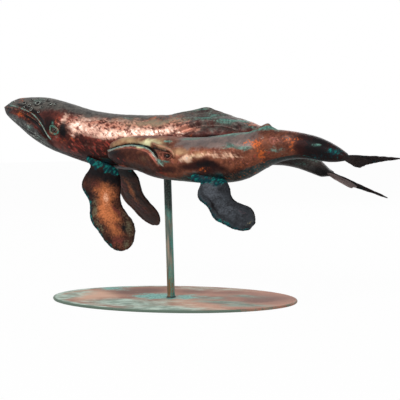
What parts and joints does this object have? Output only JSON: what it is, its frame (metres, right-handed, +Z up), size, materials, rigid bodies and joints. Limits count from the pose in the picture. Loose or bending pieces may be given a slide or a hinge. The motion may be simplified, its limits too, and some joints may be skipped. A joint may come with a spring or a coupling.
{
  "type": "whale pair figurine",
  "caption": "Humpback mother and calf in hammered, patinated copper sheet, swimming side by side on a slim rod that rises from a thin oval plate.",
  "frame": {"origin": "centre of the oval plate's underside", "axes": "+Z up along the rod, +X along the plate's long axis towards the tails, -Y the side the calf swims on"},
  "size_m": [0.542, 0.2623, 0.2588],
  "materials": {
    "mother_back_copper": "hammered sheet, heat coloured",
    "mother_belly_copper": "hammered sheet, heat coloured",
    "calf_back_copper": "hammered sheet, heat coloured",
    "calf_belly_copper": "hammered sheet, heat coloured",
    "flipper_copper": "hammered, dark edges",
    "dark_patina": "near-black patina",
    "verdigris": "matt turquoise patina",
    "rod_patina": "streaked verdigris",
    "plate_patina": "mottled copper and verdigris",
    "inner_copper": "bare"
  },
  "bodies": {
    "stand": {"base_plate": "plate_patina", "support_rod": "rod_patina"},
    "whale_pair": {"rod_socket": "inner_copper", "link_studs": "inner_copper", "mother_back_shell": "mother_back_copper", "mother_belly_shell": "mother_belly_copper", "mother_lip": "verdigris", "mother_left_flipper": "flipper_copper", "mother_right_flipper": "flipper_copper", "mother_dorsal_fin": "mother_back_copper", "mother_flukes": "dark_patina", "mother_left_eye": "dark_patina", "mother_right_eye": "dark_patina", "mother_left_eye_ring": "verdigris", "mother_right_eye_ring": "verdigris", "calf_back_shell": "calf_back_copper", "calf_belly_shell": "calf_belly_copper", "calf_lip": "calf_back_copper", "calf_left_flipper": "dark_patina", "calf_right_flipper": "dark_patina", "calf_dorsal_fin": "calf_back_copper", "calf_flukes": "dark_patina", "calf_left_eye": "dark_patina", "calf_right_eye": "dark_patina", "calf_left_eye_ring": "verdigris", "calf_right_eye_ring": "verdigris"}
  },
  "joints": [
    {"name": "pair_swivel", "type": "hinge", "parent": "stand", "child": "whale_pair", "pos_m": [0, 0, 0.16], "axis": [0, 0, 1], "continuous": true}
  ]
}
